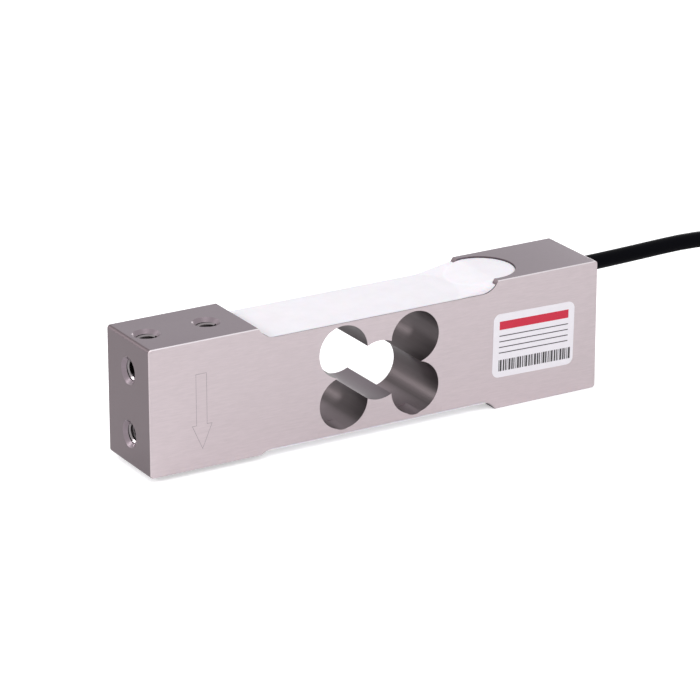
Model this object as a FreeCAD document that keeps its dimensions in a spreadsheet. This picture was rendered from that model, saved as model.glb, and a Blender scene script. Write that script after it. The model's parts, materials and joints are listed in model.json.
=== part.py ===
"""Single point load cell: an aluminium beam with a five-bore flexure, its strain gauges and
their wiring under silicone, and a short signal cable tied into a hank.

Frame: X runs along the beam from the load end (minus) to the cable end (plus), Y across it
with the labelled side at minus Y, Z up. The origin is the middle of the beam's underside.
"""

import FreeCAD, Part
import math
import os

import Sketcher
from FreeCAD import Placement, Rotation, Vector

# Driving sizes in millimetres, degrees where the name says angle.
SIZES = {
    "Beam": {
        "beam_length": 150.0,
        "beam_width": 25.0,
        "beam_height": 40.0,
        "load_end_relief": 1.6,
        "end_rounding": 1.0,
        "edge_chamfer": 0.25,
    },
    "Gauge recesses": {
        "cutter_radius": 6.0,
        "top_recess_depth": 3.4,
        "top_recess_half": 34.65,
        "bottom_recess_depth": 2.85,
        "bottom_recess_half": 35.0,
        "bottom_recess_shift": -0.6,
    },
    "Flexure": {
        "flexure_shift": -0.3,
        "upper_wall": 0.8,
        "lower_wall": 1.45,
        "corner_bore_diameter": 16.0,
        "corner_bore_pitch": 24.0,
        "middle_bore_diameter": 18.0,
        "trim_cut_radius": 4.0,
        "trim_cut_shift": -0.25,
        "load_trim_depth": 0.2,
        "cable_trim_depth": 0.4,
        "trim_cut_length": 8.0,
    },
    "Threaded holes": {
        "thread_diameter": 6.0,
        "thread_depth": 14.0,
        "thread_pitch_distance": 19.0,
        "thread_inset": 6.0,
        "crossing_room": 1.1,
        "end_thread_rise": 0.6,
        "rim_diameter": 8.2,
        "rim_angle": 90.0,
        "drill_angle": 118.0,
    },
    "Terminal pocket": {
        "pocket_diameter": 20.8,
        "pocket_past_recess": 7.15,
        "wire_hole_diameter": 3.0,
    },
    "Cable entry": {
        "cable_diameter": 4.9,
        "cable_below_top": 5.38,
        "entry_clearance": 0.1,
        "seal_diameter": 7.4,
        "seal_depth": 1.5,
        "ferrule_wall": 0.8,
        "ferrule_length": 1.8,
        "ferrule_room": 0.25,
        "jacket_inside": 2.8,
    },
    "Strain gauges": {
        "gauge_length": 8.0,
        "gauge_width": 5.4,
        "gauge_thickness": 0.12,
        "foil_length": 5.2,
        "foil_width": 3.4,
        "foil_thickness": 0.06,
        "tab_length": 3.6,
        "tab_width": 3.0,
        "tab_thickness": 0.3,
        "tab_gap": 0.6,
        "lead_width": 0.5,
        "lead_thickness": 0.3,
        "lead_clearance": 1.1,
        "lead_straight": 2.4,
        "lead_sidestep": 3.2,
        "lead_arch": 1.6,
    },
    "Terminal board": {
        "board_end_room": 11.8,
        "board_side_room": 3.4,
        "board_offset": 1.8,
        "board_thickness": 1.0,
        "bond_thickness": 0.4,
        "chip_length": 3.2,
        "chip_width": 1.6,
        "chip_height": 0.6,
        "chip_margin": 2.5,
        "joint_diameter": 1.5,
        "joint_height": 0.35,
        "joint_margin": 2.2,
        "joint_inset": 1.1,
        "core_diameter": 1.1,
        "core_circle": 1.3,
        "core_straight": 1.6,
        "core_drop": 1.8,
    },
    "Silicone": {
        "coat_edge": 0.35,
        "coat_crown": 0.75,
        "fill_below_top": 0.35,
        "coat_climb": 2.66,
        "coat_climb_length": 8.0,
    },
    "Label": {
        "label_length": 28.4,
        "label_height": 19.7,
        "label_thickness": 0.12,
        "label_corner": 2.2,
        "label_from_end": 22.4,
        "label_drop": 0.6,
        "label_angle": 1.2,
    },
    "Hank": {
        "hank_start": 149.0,
        "hank_run": 83.0,
        "fold_radius": 13.8,
        "hank_edge": 1.2,
        "second_run_end": 212.0,
        "tie_shift": 203.0,
        "tie_width": 2.6,
        "tie_thickness": 0.7,
        "tie_head_width": 4.4,
        "tie_head_length": 5.0,
        "tie_head_height": 3.2,
        "tie_tail_length": 2.5,
        "sleeve_diameter": 5.5,
        "sleeve_clearance": 0.05,
        "sleeve_length": 14.0,
        "tail_circle": 1.3,
        "tail_straight": 4.5,
        "tail_fall": 10.5,
        "tail_rest": 7.0,
    },
}

# Sizes that follow from the driving ones.
FOLLOWING = {
    "upper_bore_height": (
        "beam_height - top_recess_depth - upper_wall - corner_bore_diameter / 2"
    ),
    "lower_bore_height": "bottom_recess_depth + lower_wall + corner_bore_diameter / 2",
    "flexure_mid_height": "( upper_bore_height + lower_bore_height ) / 2",
    "end_thread_height": "beam_height / 2 + end_thread_rise - thread_pitch_distance / 2",
    "top_thread_depth": (
        "beam_height - end_thread_height - thread_pitch_distance + thread_diameter / 2"
        " + crossing_room"
    ),
    "cable_height": "beam_height - cable_below_top",
    "pocket_depth": "cable_below_top + cable_diameter / 2 + ferrule_wall + ferrule_room",
    "pocket_shift": "top_recess_half + pocket_past_recess",
    "board_length": "pocket_diameter - board_end_room",
    "board_width": "pocket_diameter - 2 * board_side_room",
    "board_shift": "pocket_shift - board_offset",
    "wire_hole_shift": "board_shift - ( board_length + wire_hole_diameter ) / 2",
    "chip_pitch": "( board_width - 2 * chip_margin ) / 3",
    "joint_pitch": "( board_width - 2 * joint_margin ) / 4",
    "lead_lane": "gauge_width / 2 + lead_clearance",
    "label_shift": "beam_length / 2 - label_from_end",
    "label_mid_height": "beam_height / 2 - label_drop",
}

# How far a shape that cuts stands clear of what it cuts.
SPARE = 1.0

# The free cable's route from the end face to the hank, each point chosen by hand.
CABLE_ROUTE = (
    (75.0, 0.0, 34.62),
    (85.0, 0.0, 34.62),
    (129.5, -0.7, 36.3),
    (147.6, -3.0, 27.2),
    (160.2, -6.8, 11.2),
    (178.0, -11.5, 2.45),
    (194.0, -11.5, 2.45),
)

# Where each loose conductor lies: its angle in the sleeve and its resting place on the floor.
TAILS = {
    "tail_red": (162.0, -18.8, 0.55),
    "tail_black": (234.0, -17.5, 0.55),
    "tail_green": (306.0, -16.2, 0.55),
    "tail_white": (18.0, -14.9, 0.55),
    "tail_shield": (90.0, -16.8, 1.65),
}

# The conductors inside the pocket, by their angle round the cable's middle.
CORES = {
    "core_red": 162.0,
    "core_black": 234.0,
    "core_green": 306.0,
    "core_white": 18.0,
    "core_shield": 90.0,
}

doc = FreeCAD.newDocument("LoadCell")
sheet = doc.addObject("Spreadsheet::Sheet", "Sizes")


def fill_sheet():
    """Write each size with its alias, group by group: plain numbers, then what follows from them."""
    groups = {**SIZES, "Following": {name: f"={text}" for name, text in FOLLOWING.items()}}
    row = 1
    for group, sizes in groups.items():
        sheet.set(f"A{row}", group)
        row += 1
        for alias, value in sizes.items():
            sheet.set(f"A{row}", alias)
            sheet.set(f"B{row}", str(value))
            sheet.setAlias(f"B{row}", alias)
            row += 1
    doc.recompute()


def size(alias):
    """The number in the sheet's cell of that alias."""
    return float(getattr(sheet, alias))


def cells(text):
    """An expression in which each size's name stands for its cell."""
    words = []
    for word in text.split():
        known = word in FOLLOWING or any(word in sizes for sizes in SIZES.values())
        words.append(f"{sheet.Name}.{word}" if known else word)
    return " ".join(words)


def bind(thing, path, text):
    """Tie one property to an expression of sizes."""
    thing.setExpression(path, cells(text))


# Helpers for bodies and sketches


def new_body(name):
    body = doc.addObject("PartDesign::Body", name)
    body.Label = name
    return body


def new_sketch(body, role, name, offset=None):
    """A sketch on one of the body's origin planes, moved along the plane's normal by an expression."""
    sketch = body.newObject("Sketcher::SketchObject", name)
    plane = next(f for f in body.Origin.OriginFeatures if f.Role == role)
    sketch.AttachmentSupport = [(plane, "")]
    sketch.MapMode = "FlatFace"
    if offset:
        bind(sketch, "AttachmentOffset.Base.z", offset)
    return sketch


def constrain(sketch, constraint, text):
    """Add a dimension and tie it to an expression."""
    index = sketch.addConstraint(constraint)
    bind(sketch, f"Constraints[{index}]", text)


def place_point(sketch, item, end, across, up):
    """Hold a point at two expressions from the sketch's origin."""
    constrain(sketch, Sketcher.Constraint("DistanceX", -1, 1, item, end, 1.0), across)
    constrain(sketch, Sketcher.Constraint("DistanceY", -1, 1, item, end, 1.0), up)


def circle(sketch, across, up, diameter):
    item = sketch.addGeometry(Part.Circle(Vector(1, 1, 0), Vector(0, 0, 1), 1.0))
    constrain(sketch, Sketcher.Constraint("Diameter", item, 2.0), diameter)
    place_point(sketch, item, 3, across, up)


def triangle(sketch, corners):
    """Three lines through corners that are pairs of expressions."""
    drafts = [Vector(0, 0, 0), Vector(1, 0, 0), Vector(0, 1, 0)]
    first = sketch.GeometryCount
    for index, draft in enumerate(drafts):
        sketch.addGeometry(Part.LineSegment(draft, drafts[(index + 1) % 3]))
    for index, corner in enumerate(corners):
        after = first + (index + 1) % 3
        sketch.addConstraint(Sketcher.Constraint("Coincident", first + index, 2, after, 1))
        place_point(sketch, first + index, 1, *corner)


def rectangle(sketch, left, right, low, high):
    corners = [Vector(0, 0, 0), Vector(1, 0, 0), Vector(1, 1, 0), Vector(0, 1, 0)]
    first = sketch.GeometryCount
    for index, corner in enumerate(corners):
        sketch.addGeometry(Part.LineSegment(corner, corners[(index + 1) % 4]))
    for index in range(4):
        after = first + (index + 1) % 4
        sketch.addConstraint(Sketcher.Constraint("Coincident", first + index, 2, after, 1))
        direction = "Horizontal" if index % 2 == 0 else "Vertical"
        sketch.addConstraint(Sketcher.Constraint(direction, first + index))
    place_point(sketch, first, 1, left, low)
    place_point(sketch, first + 2, 1, right, high)


def pad(body, sketch, name, length, symmetric=False):
    feature = body.newObject("PartDesign::Pad", name)
    feature.Profile = sketch
    feature.SideType = "Symmetric" if symmetric else "One side"
    bind(feature, "Length", length)
    doc.recompute()
    return feature


def pocket(body, sketch, name, length=None, reverse=False):
    """Cut a sketch to a depth, or right through both ways, and see that it removed something."""
    before = body.Shape.Volume
    feature = body.newObject("PartDesign::Pocket", name)
    feature.Profile = sketch
    feature.Reversed = reverse
    if length:
        bind(feature, "Length", length)
    else:
        feature.Type = "ThroughAll"
        feature.SideType = "Symmetric"
    doc.recompute()
    if body.Shape.Volume > before - 0.01:
        raise ValueError(f"{name} cut nothing")
    return feature


def dress(body, kind, name, base, edges, path, amount):
    """A fillet or a chamfer on named edges of the feature before it."""
    feature = body.newObject(f"PartDesign::{kind}", name)
    feature.Base = (base, edges)
    bind(feature, path, amount)
    doc.recompute()
    return feature


def edges_where(shape, test):
    return [f"Edge{number}" for number, edge in enumerate(shape.Edges, 1) if test(edge)]


def threaded_hole(body, sketch, name, depth, reverse):
    """Blind holes for screws with a countersunk rim, one for each circle of the sketch."""
    before = body.Shape.Volume
    hole = body.newObject("PartDesign::Hole", name)
    hole.Profile = sketch
    hole.ThreadType = "None"
    hole.DepthType = "Dimension"
    hole.DrillPoint = "Angled"
    hole.HoleCutType = "Countersink"
    hole.HoleCutCustomValues = True
    hole.Reversed = reverse
    bind(hole, "Diameter", "thread_diameter")
    bind(hole, "Depth", depth)
    bind(hole, "DrillPointAngle", "drill_angle")
    bind(hole, "HoleCutDiameter", "rim_diameter")
    bind(hole, "HoleCutCountersinkAngle", "rim_angle")
    doc.recompute()
    if body.Shape.Volume > before - 0.01:
        raise ValueError(f"{name} cut nothing")


def block(name, lengths, base):
    """A rectangular piece whose three lengths and low corner are expressions."""
    box = doc.addObject("Part::Box", name)
    box.Label = name
    for path, text in zip(("Length", "Width", "Height"), lengths, strict=True):
        bind(box, path, text)
    for axis, text in zip("xyz", base, strict=True):
        bind(box, f"Placement.Base.{axis}", text)
    return box


def rod(name, diameter, length, base, direction=(0, 0, 1)):
    """A round piece that starts at a point given by expressions and runs along a direction."""
    cylinder = doc.addObject("Part::Cylinder", name)
    cylinder.Label = name
    cylinder.Placement = Placement(Vector(), Rotation(Vector(0, 0, 1), Vector(*direction)))
    bind(cylinder, "Radius", f"( {diameter} ) / 2")
    bind(cylinder, "Height", length)
    for axis, text in zip("xyz", base, strict=True):
        bind(cylinder, f"Placement.Base.{axis}", text)
    return cylinder


def solder_joint(name, base):
    """A small six-sided mound of solder that stands at a point given by expressions."""
    joint = doc.addObject("Part::Prism", name)
    joint.Label = name
    joint.Polygon = 6
    bind(joint, "Circumradius", "joint_diameter / 2")
    bind(joint, "Height", "joint_height")
    for axis, text in zip("xyz", base, strict=True):
        bind(joint, f"Placement.Base.{axis}", text)
    return joint


def cut(name, base, tools):
    result = doc.addObject("Part::Cut", name)
    result.Label = name
    result.Base = base
    result.Tool = tools[0] if len(tools) == 1 else together(f"{name}_tools", tools)
    return result


def together(name, pieces):
    result = doc.addObject("Part::MultiFuse", name)
    result.Label = name
    result.Shapes = pieces
    return result


# Helpers for wires and cables


def round_section(start, ahead, diameter):
    return Part.Face(Part.Wire(Part.makeCircle(diameter / 2, start, ahead)))


def swept_run(section, start, end):
    return section.extrude(end - start)


def tube(name, points, diameter):
    """A cable of straight runs joined by tangent arcs, each as large as its two runs allow."""
    points = [Vector(*point) for point in points]
    runs = []
    radii = []
    length = 0.0
    start = points[0]
    for before, corner, after in zip(points, points[1:], points[2:]):
        back = (before - corner).normalize()
        ahead = (after - corner).normalize()
        half_turn = (math.pi - back.getAngle(ahead)) / 2
        tangent = 0.45 * min((before - corner).Length, (after - corner).Length)
        radius = tangent / math.tan(half_turn)
        inward = (back + ahead).normalize()
        centre = corner + inward * (radius / math.cos(half_turn))
        axis = ahead.cross(back)
        arc_start = corner + back * tangent
        runs.append(swept_run(round_section(start, back, diameter), start, arc_start))
        bend = round_section(arc_start, back, diameter)
        runs.append(bend.revolve(centre, axis, 2 * math.degrees(half_turn)))
        length += (arc_start - start).Length + 2 * half_turn * radius
        radii.append(radius)
        start = corner + ahead * tangent
    runs.append(swept_run(round_section(start, points[-1] - start, diameter), start, points[-1]))
    length += (points[-1] - start).Length

    piece = doc.addObject("Part::Feature", name)
    piece.Label = name
    piece.Shape = runs[0].fuse(runs[1:]).removeSplitter().Solids[0]
    piece.Placement = Placement()
    expected = math.pi * diameter**2 / 4 * length
    if abs(piece.Shape.Volume - expected) > 0.01 * expected:
        raise ValueError(f"{name} holds {piece.Shape.Volume:.2f}, not {expected:.2f}")
    print(f"{name}: length {length:.1f}, radii", [round(radius, 1) for radius in radii])
    return piece


def wire(name, points, section):
    """A short conductor of straight runs with mitred corners, from a section at its start."""
    path = Part.makePolygon([Vector(*point) for point in points])
    piece = doc.addObject("Part::Feature", name)
    piece.Label = name
    piece.Shape = path.makePipeShell([section], True, False, 1)
    piece.Placement = Placement()
    return piece


def ribbon_section(start, width, thickness):
    """A flat ribbon's section, square to X."""
    low = Vector(*start) - Vector(0, width / 2, thickness / 2)
    corners = [(0, 0), (width, 0), (width, thickness), (0, thickness), (0, 0)]
    return Part.makePolygon([low + Vector(0, across, up) for across, up in corners])


def core_section(start):
    """A conductor's section, square to X: an octagon, which keeps these thin pieces light."""
    sides = 8
    corners = []
    for step in range(sides + 1):
        spoke = Vector(0, size("core_diameter") / 2, 0)
        turn = Rotation(Vector(1, 0, 0), 360 / sides * (step % sides))
        corners.append(Vector(*start) + turn.multVec(spoke))
    return Part.makePolygon(corners)


# The beam

HALF_LENGTH = "beam_length / 2"
HALF_WIDTH = "beam_width / 2"
TOP_FLOOR = "beam_height - top_recess_depth"
POCKET_FLOOR = "beam_height - pocket_depth"


def recess(body, name, middle, half, height):
    """A gauge recess across the beam as a side cutter leaves it, round at both its ends."""
    floor = new_sketch(body, "XZ_Plane", f"{name}_profile")
    low, high = f"{height} - cutter_radius", f"{height} + cutter_radius"
    rectangle(floor, f"{middle} - {half}", f"{middle} + {half}", low, high)
    pocket(body, floor, name)
    ends = new_sketch(body, "XZ_Plane", f"{name}_ends_profile")
    for side in ("-", "+"):
        circle(ends, f"{middle} {side} {half}", height, "2 * cutter_radius")
    return pocket(body, ends, f"{name}_ends")


def beam_outline(body):
    """The blank with its load end raised clear, both recesses and broken edges."""
    blank = new_sketch(body, "XZ_Plane", "blank_profile")
    rectangle(blank, "- beam_length / 2", HALF_LENGTH, "0", "beam_height")
    pad(body, blank, "blank", "beam_width", symmetric=True)

    relief = new_sketch(body, "XZ_Plane", "relief_profile")
    inner_end = "bottom_recess_shift - bottom_recess_half"
    rectangle(
        relief, f"- beam_length / 2 - {SPARE}", inner_end, f"- {SPARE}", "load_end_relief"
    )
    pocket(body, relief, "load_end_step")

    recess(body, "top_recess", "0", "top_recess_half", f"{TOP_FLOOR} + cutter_radius")
    low_middle = "bottom_recess_depth - cutter_radius"
    base = recess(
        body, "bottom_recess", "bottom_recess_shift", "bottom_recess_half", low_middle
    )

    half_length = size("beam_length") / 2
    ends = edges_where(
        body.Shape,
        lambda edge: edge.BoundBox.YLength > 1
        and abs(abs(edge.BoundBox.Center.x) - half_length) < 0.01,
    )
    base = dress(body, "Fillet", "end_roundings", base, ends, "Radius", "end_rounding")

    half_width = size("beam_width") / 2
    top_recess_end = size("top_recess_half") + size("cutter_radius") + 0.01
    rims = edges_where(
        body.Shape,
        lambda edge: edge.BoundBox.YLength < 0.01
        and abs(abs(edge.BoundBox.Center.y) - half_width) < 0.01
        and not (
            edge.BoundBox.ZMin > size("beam_height") - size("top_recess_depth") - 0.01
            and abs(edge.BoundBox.XMin) < top_recess_end
            and abs(edge.BoundBox.XMax) < top_recess_end
        ),
    )
    dress(body, "Chamfer", "long_edges", base, rims, "Size", "edge_chamfer")


def beam_flexure(body):
    """Four corner bores joined by a larger one, and the hand trims in the two lower ones."""
    # What the three bores of each side would leave between their middles goes first.
    for name, side in (("load_sliver", "-"), ("cable_sliver", "+")):
        between = new_sketch(body, "XZ_Plane", f"{name}_profile")
        across = f"flexure_shift {side} corner_bore_pitch / 2"
        middles = [
            (across, "lower_bore_height"),
            ("flexure_shift", "flexure_mid_height"),
            (across, "upper_bore_height"),
        ]
        triangle(between, middles)
        pocket(body, between, name)

    for name, height in (
        ("upper_bores", "upper_bore_height"),
        ("lower_bores", "lower_bore_height"),
    ):
        sketch = new_sketch(body, "XZ_Plane", f"{name}_profile")
        for side in ("-", "+"):
            across = f"flexure_shift {side} corner_bore_pitch / 2"
            circle(sketch, across, height, "corner_bore_diameter")
        pocket(body, sketch, name)
    middle = new_sketch(body, "XZ_Plane", "middle_bore_profile")
    circle(middle, "flexure_shift", "flexure_mid_height", "middle_bore_diameter")
    pocket(body, middle, "middle_bore")

    trims = new_sketch(body, "XZ_Plane", "trim_cuts_profile", HALF_WIDTH)
    lowest = "lower_bore_height - corner_bore_diameter / 2"
    for side, depth in (("-", "load_trim_depth"), ("+", "cable_trim_depth")):
        across = f"flexure_shift {side} corner_bore_pitch / 2 + trim_cut_shift"
        circle(trims, across, f"{lowest} - {depth} + trim_cut_radius", "2 * trim_cut_radius")
    pocket(body, trims, "trim_cuts", "trim_cut_length")


def beam_holes(body):
    """Screw holes in the load end's top and end face and under the cable end.

    The top ones run on past the upper end hole, which crosses the first of them.
    """
    top = new_sketch(body, "XY_Plane", "load_top_holes", "beam_height")
    for step in ("0", "thread_pitch_distance"):
        circle(top, f"- beam_length / 2 + thread_inset + {step}", "0", "thread_diameter")
    threaded_hole(body, top, "load_top_threads", "top_thread_depth", False)

    end = new_sketch(body, "YZ_Plane", "load_end_holes", "- beam_length / 2")
    for step in ("0", "thread_pitch_distance"):
        circle(end, "0", f"end_thread_height + {step}", "thread_diameter")
    threaded_hole(body, end, "load_end_threads", "thread_depth", True)

    under = new_sketch(body, "XY_Plane", "base_holes")
    for step in ("0", "thread_pitch_distance"):
        circle(under, f"beam_length / 2 - thread_inset - {step}", "0", "thread_diameter")
    threaded_hole(body, under, "base_threads", "thread_depth", True)


def beam_wiring_cuts(body):
    """The terminal pocket, the drilling to the bottom gauges and the cable's way in."""
    terminal = new_sketch(body, "XY_Plane", "pocket_profile", "beam_height")
    circle(terminal, "pocket_shift", "0", "pocket_diameter")
    pocket(body, terminal, "terminal_pocket", "pocket_depth")

    drilling = new_sketch(body, "XY_Plane", "wire_hole_profile", POCKET_FLOOR)
    circle(drilling, "wire_hole_shift", "0", "wire_hole_diameter")
    pocket(body, drilling, "wire_hole", POCKET_FLOOR)

    entry = new_sketch(body, "YZ_Plane", "cable_hole_profile", HALF_LENGTH)
    circle(entry, "0", "cable_height", "cable_diameter + 2 * entry_clearance")
    pocket(body, entry, "cable_hole", "beam_length / 2 - pocket_shift")

    seat = new_sketch(body, "YZ_Plane", "seal_seat_profile", HALF_LENGTH)
    circle(seat, "0", "cable_height", "seal_diameter")
    pocket(body, seat, "seal_seat", "seal_depth")


def make_beam():
    body = new_body("beam_body")
    beam_outline(body)
    beam_flexure(body)
    beam_wiring_cuts(body)
    beam_holes(body)
    return body


# Gauges on the thin walls over and under the corner bores


def make_gauges():
    """Four gauges with their foils and solder tabs, two on each recess floor."""
    made = []
    for level in ("top", "bottom"):
        for side, sign in (("load", "-"), ("cable", "+")):
            middle = f"flexure_shift {sign} corner_bore_pitch / 2"
            place = f"{level}_{side}"
            floor = TOP_FLOOR if level == "top" else "bottom_recess_depth"
            grow = "" if level == "top" else "- gauge_thickness"
            made.append(
                block(
                    f"gauge_{place}",
                    ("gauge_length", "gauge_width", "gauge_thickness"),
                    (f"{middle} - gauge_length / 2", "- gauge_width / 2", f"{floor} {grow}"),
                )
            )
            over = "+ gauge_thickness" if level == "top" else "- gauge_thickness - foil_thickness"
            made.append(
                block(
                    f"foil_{place}",
                    ("foil_length", "foil_width", "foil_thickness"),
                    (f"{middle} - foil_length / 2", "- foil_width / 2", f"{floor} {over}"),
                )
            )
            grow = "" if level == "top" else "- tab_thickness"
            start = f"{middle} + gauge_length / 2 + tab_gap"
            made.append(
                block(
                    f"tab_{place}",
                    ("tab_length", "tab_width", "tab_thickness"),
                    (start, "- tab_width / 2", f"{floor} {grow}"),
                )
            )
    return made


def tab_end(sign):
    """X of a tab's far end, where its lead begins."""
    middle = size("flexure_shift") + sign * size("corner_bore_pitch") / 2
    return middle + size("gauge_length") / 2 + size("tab_gap") + size("tab_length")


def joint_places():
    """The board's solder joints: X of the gauge side and of the cable side, and each Y."""
    half = size("board_length") / 2 - size("joint_inset")
    rows = [size("joint_pitch") * step for step in (-2, -1, 0, 1, 2)]
    return size("board_shift") - half, size("board_shift") + half, rows


def board_top():
    return (
        size("beam_height")
        - size("pocket_depth")
        + size("bond_thickness")
        + size("board_thickness")
    )


def make_leads():
    """Ribbon leads from the tabs, along the recess floors and down or up to the board."""
    width = size("lead_width")
    thick = size("lead_thickness")
    above = size("beam_height") - size("top_recess_depth") + thick / 2
    below = size("bottom_recess_depth") - thick / 2
    gauge_side, _, rows = joint_places()
    landing = board_top() + size("joint_height")
    hole = size("wire_hole_shift")
    over = landing + size("lead_arch")
    made = []
    for name, sign, side, row in (
        ("lead_top_load", -1, 1, rows[4]),
        ("lead_top_cable", 1, -1, rows[0]),
    ):
        points = [
            *lane_points(sign, side, above),
            (gauge_side, row, above),
            (gauge_side, row, landing),
        ]
        made.append(wire(name, points, ribbon_section(points[0], width, thick)))
    for name, sign, side, row in (
        ("lead_bottom_load", -1, 1, rows[3]),
        ("lead_bottom_cable", 1, -1, rows[1]),
    ):
        points = [
            *lane_points(sign, side, below),
            (hole - size("wire_hole_diameter") / 2, side * width, below),
            (hole, side * width, below),
            (hole, side * width, over),
            (gauge_side, row, over),
            (gauge_side, row, landing),
        ]
        made.append(wire(name, points, ribbon_section(points[0], width, thick)))
    return made


def lane_points(sign, side, level):
    """A lead's way out of its tab and along its lane, past the gauge nearer the cable."""
    lane = side * size("lead_lane")
    straight = size("lead_straight")
    sidestep = straight + size("lead_sidestep")
    start = tab_end(sign)
    points = [(start, 0, level), (start + straight, 0, level), (start + sidestep, lane, level)]
    if sign < 0:
        points.append((tab_end(1) + sidestep, lane, level))
    return points


# The terminal board in its pocket


def make_board():
    """The board on its bond, four trim resistors and the solder joints."""
    low = "board_shift - board_length / 2"
    made = [
        block(
            "board_bond",
            ("board_length", "board_width", "bond_thickness"),
            (low, "- board_width / 2", POCKET_FLOOR),
        ),
        block(
            "terminal_board",
            ("board_length", "board_width", "board_thickness"),
            (low, "- board_width / 2", f"{POCKET_FLOOR} + bond_thickness"),
        ),
    ]
    top = f"{POCKET_FLOOR} + bond_thickness + board_thickness"
    for number, step in enumerate(("-1.5", "-0.5", "0.5", "1.5"), 1):
        made.append(
            block(
                f"trim_resistor_{number}",
                ("chip_length", "chip_width", "chip_height"),
                (
                    "board_shift - chip_length / 2",
                    f"{step} * chip_pitch - chip_width / 2",
                    top,
                ),
            )
        )
    for row, sign in (("gauge", "-"), ("cable", "+")):
        across = f"board_shift {sign} ( board_length / 2 - joint_inset )"
        joints = []
        for number, step in enumerate(("-2", "-1", "0", "1", "2"), 1):
            up = f"{step} * joint_pitch"
            joints.append(solder_joint(f"{row}_joint_{number}", (across, up, top)))
        made.append(together(f"{row}_solder_joints", joints))
    return made


def make_cores():
    """The cable's conductors from the cut jacket down to their solder joints."""
    jacket_end = pocket_wall() - size("jacket_inside")
    _, cable_side, rows = joint_places()
    landing = board_top() + size("joint_height")
    made = []
    for (name, angle), row in zip(CORES.items(), (rows[0], rows[1], rows[3], rows[4], rows[2])):
        turn = math.radians(angle)
        y = size("core_circle") * math.cos(turn)
        z = size("cable_height") + size("core_circle") * math.sin(turn)
        points = [
            (jacket_end, y, z),
            (jacket_end - size("core_straight"), y, z),
            (cable_side, row, max(z, landing + size("core_drop"))),
            (cable_side, row, landing),
        ]
        made.append(wire(name, points, core_section(points[0])))
    return made


# The cable entry


def pocket_wall():
    """X of the pocket's wall where the cable comes through it."""
    return size("pocket_shift") + size("pocket_diameter") / 2


def make_entry():
    """The jacket inside the beam, its ferrule in the pocket and the seal at the end face."""
    wall = "pocket_shift + pocket_diameter / 2"
    along = (1, 0, 0)
    jacket = rod(
        "cable_jacket_inside",
        "cable_diameter",
        f"beam_length / 2 - ( {wall} ) + jacket_inside",
        (f"{wall} - jacket_inside", "0", "cable_height"),
        along,
    )
    ferrule = cut(
        "cable_ferrule",
        rod(
            "ferrule_blank",
            "cable_diameter + 2 * ferrule_wall",
            "ferrule_length",
            (f"{wall} - jacket_inside / 2 - ferrule_length / 2", "0", "cable_height"),
            along,
        ),
        [jacket],
    )
    seal = cut(
        "cable_seal",
        rod(
            "seal_blank",
            "seal_diameter",
            "seal_depth",
            ("beam_length / 2 - seal_depth", "0", "cable_height"),
            along,
        ),
        [jacket],
    )
    return [jacket, ferrule, seal]


# Silicone over the gauges and in the pocket


def coat_sheet(name, floor, outward):
    """A recess's silicone: crowned across the beam, cut off by the recess's round ends."""
    half = size("beam_width") / 2
    edge = size("coat_edge")
    crown = size("coat_crown")
    long = size("beam_length")
    ends = [Vector(-long / 2, side * half, floor) for side in (-1, 1)]
    rims = [end + Vector(0, 0, outward * edge) for end in ends]
    peak = Vector(-long / 2, 0, floor + outward * (edge + crown))
    section = Part.Wire(
        [
            Part.LineSegment(rims[0], ends[0]).toShape(),
            Part.LineSegment(ends[0], ends[1]).toShape(),
            Part.LineSegment(ends[1], rims[1]).toShape(),
            Part.Arc(rims[1], peak, rims[0]).toShape(),
        ]
    )
    sheet_body = Part.Face(section).extrude(Vector(long, 0, 0))
    return sheet_body.common(recess_space(name))


def recess_space(name):
    """The space that the cutter left between a recess's round ends."""
    radius = size("cutter_radius")
    if name == "top":
        middle, half = 0.0, size("top_recess_half")
        up = size("beam_height") - size("top_recess_depth") + radius
    else:
        middle, half = size("bottom_recess_shift"), size("bottom_recess_half")
        up = size("bottom_recess_depth") - radius
    width = size("beam_width")
    front = Vector(middle - half, -width / 2, up)
    ends = [
        Part.makeCylinder(radius, width, front + Vector(step, 0, 0), Vector(0, 1, 0))
        for step in (0, 2 * half)
    ]
    between = Part.makeBox(2 * half, width, 2 * radius, front - Vector(0, 0, radius))
    return between.fuse(ends)


def pocket_fill():
    """The pocket filled nearly to the top, with a slope down to the sheet in the recess."""
    floor = size("beam_height") - size("pocket_depth")
    depth = size("pocket_depth") - size("fill_below_top")
    middle = Vector(size("pocket_shift"), 0, floor)
    full = Part.makeCylinder(size("pocket_diameter") / 2, depth, middle)
    end_face = size("top_recess_half") + size("cutter_radius")
    top = floor + depth
    sheet_top = size("beam_height") - size("top_recess_depth") + size("coat_edge")
    left = size("pocket_shift") - size("pocket_diameter") / 2 - SPARE
    half = size("beam_width") / 2
    slope = Part.Face(
        Part.makePolygon(
            [
                Vector(left, -half, sheet_top + size("coat_crown")),
                Vector(end_face, -half, top),
                Vector(end_face, -half, top + SPARE),
                Vector(left, -half, top + SPARE),
                Vector(left, -half, sheet_top + size("coat_crown")),
            ]
        )
    ).extrude(Vector(0, 2 * half, 0))
    return full.cut(slope)


def climbing_bead():
    """The silicone that runs up the recess's round end towards the pocket's rim."""
    half = size("beam_width") / 2
    floor = size("beam_height") - size("top_recess_depth")
    end = size("top_recess_half")
    low = Vector(end - size("coat_climb_length"), -half, floor)
    wedge = Part.Face(
        Part.makePolygon(
            [
                low,
                low + Vector(0, 0, size("coat_edge")),
                Vector(end + size("cutter_radius"), -half, floor + size("coat_climb")),
                Vector(end + size("cutter_radius"), -half, floor),
                low,
            ]
        )
    ).extrude(Vector(0, 2 * half, 0))
    return wedge.common(recess_space("top"))


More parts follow.
